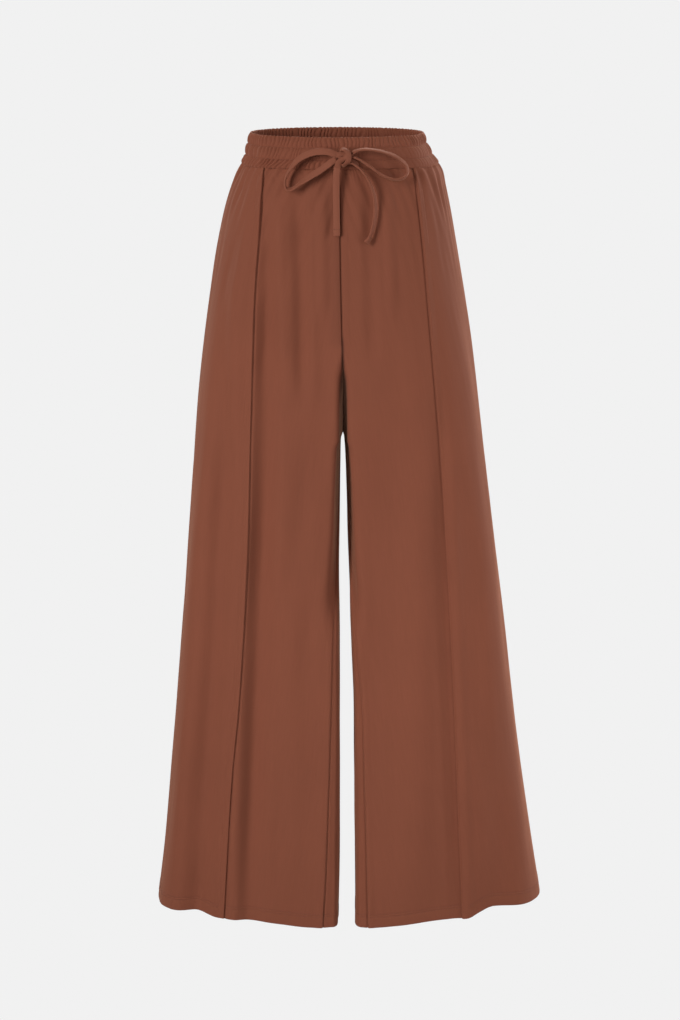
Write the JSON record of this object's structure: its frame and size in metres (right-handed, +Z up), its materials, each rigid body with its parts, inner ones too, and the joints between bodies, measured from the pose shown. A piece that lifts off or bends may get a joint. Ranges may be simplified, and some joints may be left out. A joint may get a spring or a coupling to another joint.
{
  "type": "palazzo pants",
  "caption": "Worn-shape palazzo pants with a gathered elastic waistband, a drawstring bow, stitched front pintucks and wide open legs.",
  "frame": {"origin": "centre of the waistband's top edge, where a waist holds the garment up", "axes": "+Z up out of the waist opening, -Y out of the front, +X towards the wearer's left leg"},
  "size_m": [0.5405, 0.2352, 1.0965],
  "materials": {
    "crepe": "soft matt crepe",
    "tape": "soft matt sewn tape"
  },
  "bodies": {
    "root": {"waistband": "crepe", "front_right": "crepe", "front_left": "crepe", "back_right": "crepe", "back_left": "crepe", "pintuck_right": "crepe", "pintuck_left": "crepe", "drawstring_knot": "tape", "drawstring_loop_right": "tape", "drawstring_loop_left": "tape", "drawstring_tail_right": "tape", "drawstring_tail_left": "tape"}
  },
  "joints": []
}
